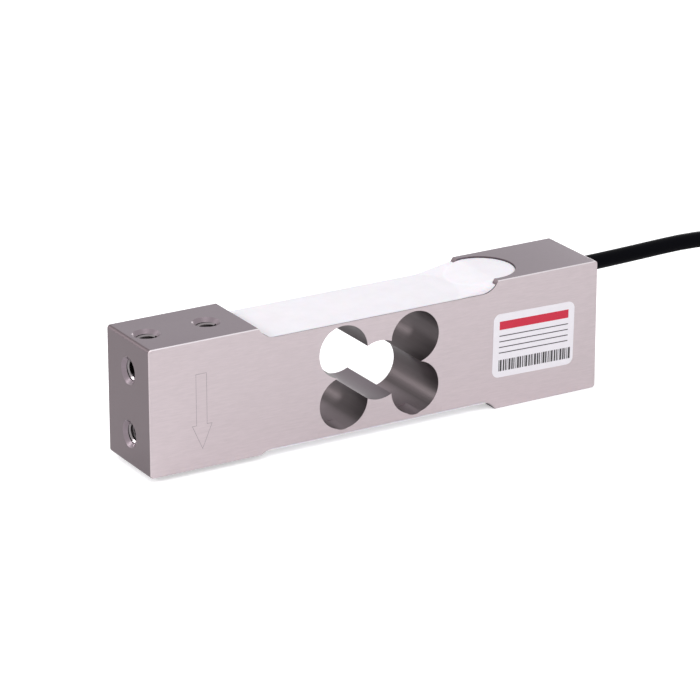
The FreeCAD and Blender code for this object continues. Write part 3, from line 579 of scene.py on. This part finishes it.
    # Painted highlight on the chamfers, over their bare metal.
    whole = mixed(tree, 400, 200, edge_highlight_mask, faces, shade(look.edge_highlight_colour, 1.0))
    link(whole, shader.inputs["Base Color"])
    gloss = ramp(tree, 200, -250, on_side, look.roughness * 0.7, look.roughness)
    smooth = mixed(tree, 400, -250, in_bore, gloss, look.bore_roughness, "FLOAT")
    satin = figure(tree, -300, -2750, "MULTIPLY", painted_floor_light, in_bore)
    soft = figure(tree, -100, -2750, "MAXIMUM", satin, on_corner)
    dull = mixed(tree, 550, -250, soft, smooth, look.soft_roughness, "FLOAT")
    link(dull, shader.inputs["Roughness"])
    relief = mixed(
        tree, 200, -500, on_side, milled.outputs["Normal"], brushed.outputs["Normal"], "VECTOR"
    )
    relief = mixed(tree, 400, -500, in_bore, relief, bored.outputs["Normal"], "VECTOR")
    link(relief, shader.inputs["Normal"])
    return material


def foil_material():
    """A gauge's foil: fine parallel lines of its grid."""
    material, tree, shader = new_material("gauge_foil_finish", 0.35, 0.8)
    place = add_node(tree, "ShaderNodeTexCoord", -500, 0)
    lines = add_node(tree, "ShaderNodeTexWave", -250, 0, Scale=380.0, Distortion=0.0)
    lines.bands_direction = "Y"
    tones = add_node(tree, "ShaderNodeValToRGB", 100, 0)
    tones.color_ramp.elements[0].color = (0.45, 0.22, 0.06, 1)
    tones.color_ramp.elements[1].color = (0.72, 0.60, 0.46, 1)
    tree.links.new(place.outputs["Object"], lines.inputs["Vector"])
    tree.links.new(lines.outputs["Fac"], tones.inputs["Fac"])
    tree.links.new(tones.outputs["Color"], shader.inputs["Base Color"])
    return material


def conductor_material(name, tint, bare_from):
    """Coloured insulation up to the stripped tip, and bare copper from there on."""
    material, tree, shader = new_material(f"{name}_finish", 0.4)
    link = tree.links.new
    place = add_node(tree, "ShaderNodeTexCoord", -700, 0)
    along = add_node(tree, "ShaderNodeSeparateXYZ", -500, 0)
    bare = figure(tree, -300, -100, "GREATER_THAN", along.outputs["X"], bare_from)
    skin = grain_node(tree, -300, 300, shade(tint, 0.9), shade(tint, 1.1), Scale=900.0)
    strands = grain_node(
        tree,
        -300,
        -300,
        (0.42, 0.20, 0.12, 1),
        (0.86, 0.55, 0.40, 1),
        Stretch=(0.1, 1.0, 1.0),
        Scale=7000.0,
    )
    link(place.outputs["Object"], along.inputs[0])
    tone = mixed(tree, 200, 100, bare, skin.outputs["Color"], strands.outputs["Color"])
    link(tone, shader.inputs["Base Color"])
    link(bare, shader.inputs["Metallic"])
    return material


# The stage and the camera


class LOADCELL_OT_stage(bpy.types.Operator):
    """Set the camera, the floor, the soft light and the three lamps"""

    bl_idname = "load_cell.stage"
    bl_label = "Stage"

    LAMPS = (
        ("key", (-0.35, -0.75, 0.85), (0.9, 0.6)),
        ("bore", (-0.76, 0.6, 0.42), (0.14, 0.2)),
        ("back", (0.78, 0.66, 0.14), (0.3, 0.25)),
    )
    LAMP_TARGET = Vector((0.0, 0.0, 0.02))

    def execute(self, context):
        look = settings(context, "stage")
        scene = context.scene
        scene.view_settings.view_transform = "Standard"

        camera = bpy.data.objects.new("camera", bpy.data.cameras.new("camera"))
        scene.collection.objects.link(camera)
        camera.location = look.camera_place
        camera.rotation_mode = "QUATERNION"
        camera.rotation_quaternion = Vector(look.camera_view).to_track_quat("-Z", "Y")
        camera.data.sensor_width = 36.0
        camera.data.lens = look.camera_lens
        camera.data.clip_start = 0.01
        scene.camera = camera

        floor = new_plane(6.0, location=(0, 0, -0.0001))
        floor.name = "floor"
        floor.data.materials.append(self.floor_material(look))
        self.light_room(scene, look)
        for name, place, extent in self.LAMPS:
            self.add_lamp(f"{name}_light", place, extent, getattr(look, f"{name}_power"))
        return {"FINISHED"}

    @staticmethod
    def floor_material(look):
        """A pale floor that the camera sees as white and reflections a little brighter."""
        to_camera, to_reflections = 0.5, 0.15
        material, tree, shader = new_material("floor_white", 0.9)
        shader.inputs["Base Color"].default_value = shade(look.floor_colour, 1.0)
        shader.inputs["Specular IOR Level"].default_value = 0.0
        glow = add_node(tree, "ShaderNodeEmission", 400, 300)
        glow.inputs["Color"].default_value = (1, 1, 1, 1)
        seen = add_node(tree, "ShaderNodeLightPath", -400, 500)
        rays = [seen.outputs[f"Is {kind} Ray"] for kind in ("Camera", "Glossy", "Transmission")]
        camera = figure(tree, -100, 600, "MULTIPLY", rays[0], to_camera)
        other = figure(tree, -100, 400, "MAXIMUM", rays[1], rays[2])
        strength = figure(tree, 150, 500, "MULTIPLY_ADD", other, to_reflections, camera)
        both = add_node(tree, "ShaderNodeAddShader", 900, 200)
        link = tree.links.new
        link(strength, glow.inputs["Strength"])
        link(shader.outputs["BSDF"], both.inputs[0])
        link(glow.outputs["Emission"], both.inputs[1])
        link(both.outputs["Shader"], tree.nodes["Material Output"].inputs["Surface"])
        return material

    @staticmethod
    def light_room(scene, look):
        """Soft light all round, which the camera and reflections see as white."""
        world = bpy.data.worlds.new("room")
        scene.world = world
        world.use_nodes = True
        tree = world.node_tree
        background = tree.nodes["Background"]
        background.inputs["Color"].default_value = (1, 1, 1, 1)
        seen = add_node(tree, "ShaderNodeLightPath", -700, 200)
        direct = seen.outputs["Is Camera Ray"]
        for number, ray in enumerate(("Is Glossy Ray", "Is Transmission Ray")):
            direct = figure(tree, 200 * number - 450, 200, "MAXIMUM", direct, seen.outputs[ray])
        strength = ramp(tree, -50, 200, direct, look.surroundings, 1.0)
        tree.links.new(strength, background.inputs["Strength"])

    def add_lamp(self, name, place, extent, power):
        """A soft lamp that shines on the beam's middle."""
        lamp = bpy.data.lights.new(name, "AREA")
        lamp.shape = "RECTANGLE"
        lamp.size, lamp.size_y = extent
        lamp.energy = power
        holder = bpy.data.objects.new(name, lamp)
        bpy.context.scene.collection.objects.link(holder)
        holder.location = place
        holder.rotation_mode = "QUATERNION"
        aim = self.LAMP_TARGET - Vector(place)
        holder.rotation_quaternion = aim.to_track_quat("-Z", "Y")


# The cable


def cable_points(look):
    """The route, then the hank's two folds and three runs, round to the jacket's end."""
    points = [Vector(point) for point in CABLE_ROUTE]
    level = points[-1].z
    first = points[-1].y
    second = first - look.diameter
    near, far = look.hank_start, look.hank_start + look.hank_run
    back = first + 2 * look.fold_radius
    far_middle = Vector((far, (first + back) / 2, level))
    near_middle = Vector((near, (second + back) / 2, level))
    steps = round(math.pi / look.fold_step)
    run_up = 16 * MM

    def fold(middle, radius, start):
        for step in range(steps + 1):
            turn = start + math.pi * step / steps
            points.append(middle + radius * Vector((math.cos(turn), math.sin(turn), 0.0)))

    def run(start, end, y, parts):
        for part in parts:
            points.append(Vector((start + part * (end - start), y, level)))

    points.append(Vector((far - run_up, first, level)))
    fold(far_middle, (back - first) / 2, -math.pi / 2)
    run(far, near, back, (0.25, 0.5, 0.75))
    fold(near_middle, (back - second) / 2, math.pi / 2)
    run(near, look.second_run_end, second, (0.25, 0.5, 0.75, 1.0))
    return points


def nurbs_curve(name, points, diameter):
    """A round curve piece along a smooth spline with these control points."""
    curve = bpy.data.curves.new(name, "CURVE")
    curve.dimensions = "3D"
    curve.bevel_depth = diameter / 2
    curve.bevel_resolution = 5
    curve.use_fill_caps = True
    spline = curve.splines.new("NURBS")
    spline.points.add(len(points) - 1)
    for control, point in zip(spline.points, points, strict=True):
        control.co = (*point, 1.0)
    spline.order_u = 3
    spline.use_endpoint_u = True
    spline.resolution_u = 6
    piece = bpy.data.objects.new(name, curve)
    bpy.context.scene.collection.objects.link(piece)
    return piece


def jacket_material(look):
    """The black jacket, on the cable and inside the beam."""
    return grained(
        "jacket_black",
        look.jacket_colour,
        0.4,
        spread=0.2,
        sockets={"Specular_IOR_Level": 0.035},
        Scale=1400.0,
        Relief=0.05,
        Depth=0.00002,
    )


class LOADCELL_OT_cable(bpy.types.Operator):
    """Lay the signal cable from the beam into its tied hank, with its stripped end"""

    bl_idname = "load_cell.cable"
    bl_label = "Signal cable"

    def execute(self, context):
        look = settings(context, "cable")
        cable = nurbs_curve("signal_cable", cable_points(look), look.diameter)
        finish_piece(cable, "signal_cable", "jacket_black", jacket_material(look))
        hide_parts("cable_run", "cable_hank")

        tails = self.add_tails(look)
        return {"FINISHED"}

    @staticmethod
    def add_tails(look):
        """The loose conductors, each from its place in the sleeve to its rest on the floor."""
        sleeve_low, sleeve_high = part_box("end_sleeve")
        middle_y = (sleeve_low[1] + sleeve_high[1]) / 2
        middle_z = (sleeve_low[2] + sleeve_high[2]) / 2
        radius = look.core_diameter / 2
        ring, in_sleeve, first_turn = 1.3 * MM, 2 * MM, 162
        made = []
        for number, (core, tint) in enumerate(CORE_TINTS.items()):
            name = f"tail_{core}"
            low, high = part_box(name)
            turn = math.radians(first_turn + 360 / len(CORE_TINTS) * number)
            out = Vector((0, math.cos(turn), math.sin(turn))) * ring
            start = Vector((sleeve_high[0] - in_sleeve, middle_y, middle_z)) + out
            level_y = high[1] - radius if core == "black" else low[1] + radius
            rest_z = low[2] + radius
            points = [start + Vector((step * MM, 0, 0)) for step in (0, 4, 7)]
            points += [Vector((high[0] - step * MM, level_y, rest_z)) for step in (9, 5, 0)]
            tail = nurbs_curve(f"{name}_finished", points, look.core_diameter)
            select_only(tail)
            bpy.ops.object.convert(target="MESH")
            bare_from = high[0] - look.bare_length
            material = conductor_material(name, tint, bare_from)
            finish_piece(tail, f"{name}_finished", f"core_{core}", material)
            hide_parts(name)
            made.append(tail)
        return made


# The beam and what is cut or drawn on it


class LOADCELL_OT_beam(bpy.types.Operator):
    """Give the machined beam smooth bores and its brushed and milled finishes"""

    bl_idname = "load_cell.beam"
    bl_label = "Beam"

    def execute(self, context):
        look = settings(context, "beam")
        piece = smooth_copy("beam_body", look.smooth_angle)
        self.tune_edges(piece.data, look)
        finish_piece(piece, "beam_finished", "beam_aluminium", beam_material(look))
        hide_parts("beam_body")
        return {"FINISHED"}

    @staticmethod
    def tune_edges(mesh, look):
        """Keep the trim cuts' borders on the lower bores crisp, and the rounded corners smooth."""
        axes = []
        for opening in frame["record"]["physics"]["openings"]:
            if "lower" in opening["name"]:
                low, high = opening["box_m"]
                axes.append(((low[0] + high[0]) / 2, (low[2] + high[2]) / 2))

        def off_wall(point):
            steps = [math.hypot(point.x - x, point.z - z) - look.bore_radius for x, z in axes]
            return min(steps, key=abs)

        inside, outside, deepest = -0.05 * MM, 0.01 * MM, 0.6 * MM
        corner_x, corner_z, shortest = -73.9 * MM, 38.9 * MM, MM
        around = {}
        for polygon in mesh.polygons:
            for key in polygon.edge_keys:
                around.setdefault(key, []).append(off_wall(polygon.center))
        for edge in mesh.edges:
            low, high = min(around[edge.key]), max(around[edge.key])
            ends = [mesh.vertices[i] for i in edge.vertices]
            if inside < low < outside < high < deepest:
                edge.use_edge_sharp = True
            at_corner = all(end.co.x < corner_x and end.co.z > corner_z for end in ends)
            if at_corner and abs(ends[0].co.y - ends[1].co.y) > shortest:
                edge.use_edge_sharp = False


class LOADCELL_OT_threads(bpy.types.Operator):
    """Cut the turns of thread into the screw holes"""

    bl_idname = "load_cell.threads"
    bl_label = "Threads"

    def execute(self, context):
        look = settings(context, "thread")
        tint = (0.26, 0.235, 0.245)
        metal = grained("thread_metal", tint, 0.32, metallic=0.9, spread=0.1, Scale=2500.0)
        made = []
        for mount in frame["record"]["mounts"]:
            if mount["kind"] != "bolt_pattern":
                continue
            for place, axis in self.holes(mount):
                made.append(self.turns(look, place, axis, self.free_depth(look, place, axis)))
        threads = joined(made)
        finish_piece(threads, "screw_threads", "beam_aluminium", metal)
        return {"FINISHED"}

    @staticmethod
    def holes(mount):
        """Each hole's mouth on the beam's face, and its axis."""
        axis = Vector(mount["axis"])
        middle = Vector(mount["pos_m"])
        low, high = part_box("beam_body")
        depth_axis = max(range(3), key=lambda i: abs(axis[i]))
        middle[depth_axis] = high[depth_axis] if axis[depth_axis] > 0 else low[depth_axis]
        if "spacing_x_mm" in mount["dims"]:
            across = Vector((1, 0, 0)) * mount["dims"]["spacing_x_mm"] * MM / 2
        else:
            across = Vector((0, 0, 1)) * mount["dims"]["spacing_y_mm"] * MM / 2
        return [(middle - across, axis), (middle + across, axis)]

    @staticmethod
    def free_depth(look, place, axis):
        """The thread's depth, less where the first top hole and the upper end hole cross."""
        if axis.z > 0.5 and place.x < -60 * MM:
            return look.top_crossing
        if axis.x < -0.5 and place.z > 20 * MM:
            return look.end_crossing
        return look.depth

    @staticmethod
    def turns(look, place, axis, depth):
        """A tooth's profile screwed down the hole."""
        piece = new_plane(1.0)
        half = look.pitch / 2
        flat = look.pitch / 16
        profile = (
            (look.outer_radius, 0.0, -half + flat),
            (look.inner_radius, 0.0, -flat),
            (look.outer_radius, 0.0, half - flat),
            (look.inner_radius, 0.0, flat),
        )
        for vertex, corner in zip(piece.data.vertices, profile, strict=True):
            vertex.co = corner
        with all_selected():
            bpy.ops.mesh.delete(type="ONLY_FACE")
            bpy.ops.mesh.select_all(action="DESELECT")
            bpy.ops.mesh.select_mode(type="EDGE")
        for edge in piece.data.edges:
            ends = [piece.data.vertices[index].co.x for index in edge.vertices]
            edge.select = min(ends) > look.outer_radius - 1e-6
        bpy.ops.object.mode_set(mode="EDIT")
        bpy.ops.mesh.delete(type="EDGE")
        bpy.ops.mesh.select_mode(type="VERT")
        bpy.ops.object.mode_set(mode="OBJECT")
        screw = piece.modifiers.new("turns", "SCREW")
        screw.axis = "Z"
        screw.screw_offset = -look.pitch
        screw.iterations = max(1, int((depth - look.start) / look.pitch))
        screw.steps = screw.render_steps = look.segments
        screw.use_normal_calculate = True
        apply_modifiers(piece)
        with all_selected():
            bpy.ops.mesh.remove_doubles(threshold=1e-7)
        bpy.ops.object.shade_smooth_by_angle(angle=math.radians(30))
        down = Matrix.Translation((0, 0, -look.start - half))
        turned = Vector((0, 0, 1)).rotation_difference(axis).to_matrix().to_4x4()
        place_in_mesh(piece, Matrix.Translation(place) @ turned @ down)
        return piece


class LOADCELL_OT_arrow(bpy.types.Operator):
    """Etch the thin outline of the load's arrow on the labelled side"""

    bl_idname = "load_cell.arrow"
    bl_label = "Load arrow"

    def execute(self, context):
        look = settings(context, "arrow")
        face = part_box("beam_body")[0][1] - look.proud
        # The outline's corners, as X and Z in millimetres.
        outline = (
            (-60.3, 30.2),
            (-60.3, 14.9),
            (-61.7, 14.9),
            (-58.4, 7.5),
            (-55.2, 14.9),
            (-56.8, 14.9),
            (-56.8, 30.2),
        )
        bpy.ops.object.select_all(action="DESELECT")
        bpy.ops.mesh.primitive_circle_add(
            vertices=len(outline), radius=0.01, fill_type="NGON", location=(0, 0, 0)
        )
        piece = context.object
        for vertex, (x, z) in zip(piece.data.vertices, outline, strict=True):
            vertex.co = (x * MM, face, z * MM)
        with all_selected():
            bpy.ops.mesh.inset(thickness=look.line_width, use_even_offset=True)
            bpy.ops.mesh.delete(type="ONLY_FACE")
            bpy.ops.mesh.select_all(action="SELECT")
            bpy.ops.mesh.normals_make_consistent(inside=False)
        ink = grained("etched_line", look.line_colour, 0.6, spread=0.2, Scale=3000.0)
        finish_piece(piece, "load_arrow", "beam_aluminium", ink)
        return {"FINISHED"}


# Silicone, label and the pieces inside


class LOADCELL_OT_silicone(bpy.types.Operator):
    """Pour the two silicone coats as soft surfaces that climb to the pocket's rim"""

    bl_idname = "load_cell.silicone"
    bl_label = "Silicone"

    def execute(self, context):
        look = settings(context, "silicone")
        rubber = grained(
            "silicone_white",
            look.tint,
            0.5,
            spread=0.03,
            sockets={
                "Subsurface_Weight": 0.15,
                "Subsurface_Scale": 0.001,
                "Specular_IOR_Level": 0.25,
            },
            Scale=160.0,
            Relief=0.25,
            Depth=0.00008,
        )
        for node in ("top_silicone", "bottom_silicone"):
            piece = smooth_copy(node, math.radians(180))
            remesh = piece.modifiers.new("cells", "REMESH")
            remesh.mode = "VOXEL"
            remesh.voxel_size = look.voxel
            ease = piece.modifiers.new("ease", "SMOOTH")
            ease.factor = 0.5
            ease.iterations = look.rounds
            ease.use_y = False  # the coats keep their full width
            apply_modifiers(piece)
            bpy.ops.object.shade_smooth()
            low, high = (Vector(corner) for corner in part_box(node))
            if node == "top_silicone":
                low.z -= look.sunk
            place_in_mesh(piece, box_fit(piece, low, high))
            finish_piece(piece, f"{node}_poured", "silicone_white", rubber)
            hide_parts(node)
        return {"FINISHED"}


class LOADCELL_OT_label(bpy.types.Operator):
    """Print the label with a plain band, ruled lines and a row of bars"""

    bl_idname = "load_cell.label"
    bl_label = "Label"

    def execute(self, context):
        look = settings(context, "label")
        node = frame["nodes"]["rating_label"]
        film = grained(
            "label_film",
            look.film_colour,
            0.38,
            spread=0.015,
            sockets={"Coat_Weight": 0.25, "Coat_Roughness": 0.2},
            Scale=900.0,
            Relief=0.02,
        )
        node.data.materials.clear()
        node.data.materials.append(film)
        low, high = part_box("rating_label")
        self.middle = Vector(((low[0] + high[0]) / 2, low[1] - 0.015 * MM, (low[2] + high[2]) / 2))
        self.turn = Matrix.Rotation(look.tilt, 4, "Y")

        # Millimetres from the label's middle: the rows' width, their places and heights.
        wide = 24.2
        band_z, band_high = 6.2, 2.6
        lines_z, line_step, line_high = 3.0, 1.75, 0.3
        bars_z, bars_high = -6.2, 3.5
        band = grained("label_band", look.band_colour, 0.42, spread=0.08, Scale=2600.0)
        band_piece = self.bar(0.0, band_z, wide, band_high)
        finish_piece(band_piece, "label_band", "label_white", band)

        ink = grained("label_ink", look.ink_colour, 0.5, spread=0.25, Scale=2600.0)
        bars = [self.bar(0.0, lines_z - line_step * row, wide, line_high) for row in range(4)]
        x = -wide / 2
        for number in range(34):
            thick = 0.22 + 0.16 * ((number * 7) % 4)
            bars.append(self.bar(x + thick / 2, bars_z, thick, bars_high))
            x += thick + 0.2 + 0.09 * ((number * 5) % 3)
        finish_piece(joined(bars), "label_print", "label_white", ink)
        return {"FINISHED"}

    def bar(self, x, z, wide, high):
        """A flat bar with soft corners, in millimetres from the label's middle."""
        piece = new_plane(1.0, rotation=(math.pi / 2, 0, 0))
        piece.scale = (wide * MM, high * MM, 1.0)
        bpy.ops.object.transform_apply(location=False, rotation=True, scale=True)
        with all_selected():
            bpy.ops.mesh.bevel(offset=0.06 * MM, segments=3, affect="VERTICES")
        offset = Matrix.Translation((x * MM, 0, z * MM))
        place_in_mesh(piece, Matrix.Translation(self.middle) @ self.turn @ offset)
        return piece


class LOADCELL_OT_tie(bpy.types.Operator):
    """Soften the edges of the strap that holds the coiled cable"""

    bl_idname = "load_cell.tie"
    bl_label = "Cable tie"

    def execute(self, context):
        look = settings(context, "tie")
        nylon = grained("tie_nylon", look.tint, 0.4, spread=0.04, Scale=600.0)
        piece = smooth_copy("hank_tie", math.radians(20))
        soft = piece.modifiers.new("soft_edges", "BEVEL")
        soft.width = look.edge
        soft.segments = 3
        soft.limit_method = "ANGLE"
        soft.angle_limit = math.radians(30)
        apply_modifiers(piece)
        bpy.ops.object.shade_smooth_by_angle(angle=math.radians(40))
        finish_piece(piece, "hank_tie_finished", "tie_nylon", nylon)
        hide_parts("hank_tie")
        return {"FINISHED"}


class LOADCELL_OT_inner_pieces(bpy.types.Operator):
    """Finish the gauges, their leads, the terminal board and the cable's fittings"""

    bl_idname = "load_cell.inner_pieces"
    bl_label = "Inner pieces"

    def execute(self, context):
        solder = grained("solder", (0.62, 0.62, 0.64), 0.25, metallic=1.0)
        finishes = {
            "gauge_": grained("gauge_film", (0.55, 0.24, 0.03), 0.3, Scale=1500.0),
            "foil_": foil_material(),
            "tab_": grained("tab_copper", (0.72, 0.38, 0.22), 0.3, metallic=0.9, Scale=2000.0),
            "lead_": grained("lead_enamel", (0.42, 0.10, 0.04), 0.25, metallic=0.4, Scale=900.0),
            "board_bond": grained("bond_adhesive", (0.72, 0.68, 0.55), 0.6, Scale=700.0),
            "terminal_board": grained("board_epoxy", (0.03, 0.17, 0.07), 0.35, Scale=1800.0),
            "trim_resistor": grained("chip_black", (0.02, 0.02, 0.022), 0.45, Scale=2200.0),
            "gauge_solder": solder,
            "cable_solder": solder,
            "cable_ferrule": grained("ferrule_steel", (0.58, 0.57, 0.56), 0.3, metallic=1.0),
            "cable_jacket_inside": jacket_material(settings(context, "cable")),
            "cable_seal": grained("seal_rubber", (0.012, 0.012, 0.014), 0.62, Scale=1200.0),
            "end_sleeve": grained(
                "shrink_sleeve",
                (0.010, 0.010, 0.012),
                0.5,
                sockets={"Specular_IOR_Level": 0.15},
                Scale=1500.0,
            ),
        }
        for core, tint in CORE_TINTS.items():
            finishes[f"core_{core}"] = grained(f"core_{core}", tint, 0.4, Scale=900.0)
        order = sorted(finishes, key=len, reverse=True)
        for node, piece in frame["nodes"].items():
            for start in order:
                if node.startswith(start):
                    piece.data.materials.clear()
                    piece.data.materials.append(finishes[start])
                    break
        return {"FINISHED"}


class LOADCELL_PT_builder(bpy.types.Panel):
    bl_label = "Load Cell"
    bl_idname = "LOADCELL_PT_builder"
    bl_space_type = "VIEW_3D"
    bl_region_type = "UI"
    bl_category = "Load Cell"

    def draw(self, context):
        for operator in OPERATORS:
            self.layout.operator(operator.bl_idname)
        for name in SETTINGS:
            box = self.layout.box()
            box.label(text=name.capitalize())
            group = settings(context, name)
            for label in group.bl_rna.properties.keys():
                if label not in {"rna_type", "name"}:
                    box.prop(group, label)


SETTINGS = {
    "stage": StageSettings,
    "beam": BeamSettings,
    "thread": ThreadSettings,
    "arrow": ArrowSettings,
    "silicone": SiliconeSettings,
    "label": LabelSettings,
    "tie": TieSettings,
    "cable": CableSettings,
}
OPERATORS = (
    LOADCELL_OT_stage,
    LOADCELL_OT_tie,
    LOADCELL_OT_cable,
    LOADCELL_OT_beam,
    LOADCELL_OT_threads,
    LOADCELL_OT_arrow,
    LOADCELL_OT_silicone,
    LOADCELL_OT_label,
    LOADCELL_OT_inner_pieces,
)


def register():
    for group in SETTINGS.values():
        bpy.utils.register_class(group)
    for name, group in SETTINGS.items():
        setattr(bpy.types.Scene, f"load_cell_{name}", PointerProperty(type=group))
    for operator in OPERATORS:
        bpy.utils.register_class(operator)
    bpy.utils.register_class(LOADCELL_PT_builder)


def unregister():
    bpy.utils.unregister_class(LOADCELL_PT_builder)
    for operator in reversed(OPERATORS):
        bpy.utils.unregister_class(operator)
    for name, group in SETTINGS.items():
        delattr(bpy.types.Scene, f"load_cell_{name}")
        bpy.utils.unregister_class(group)


def main():
    register()
    bpy.ops.load_cell.stage()
    bpy.ops.load_cell.tie()
    bpy.ops.load_cell.cable()
    bpy.ops.load_cell.beam()
    bpy.ops.load_cell.threads()
    bpy.ops.load_cell.arrow()
    bpy.ops.load_cell.silicone()
    bpy.ops.load_cell.label()
    bpy.ops.load_cell.inner_pieces()


if __name__ == "__main__":
    main()
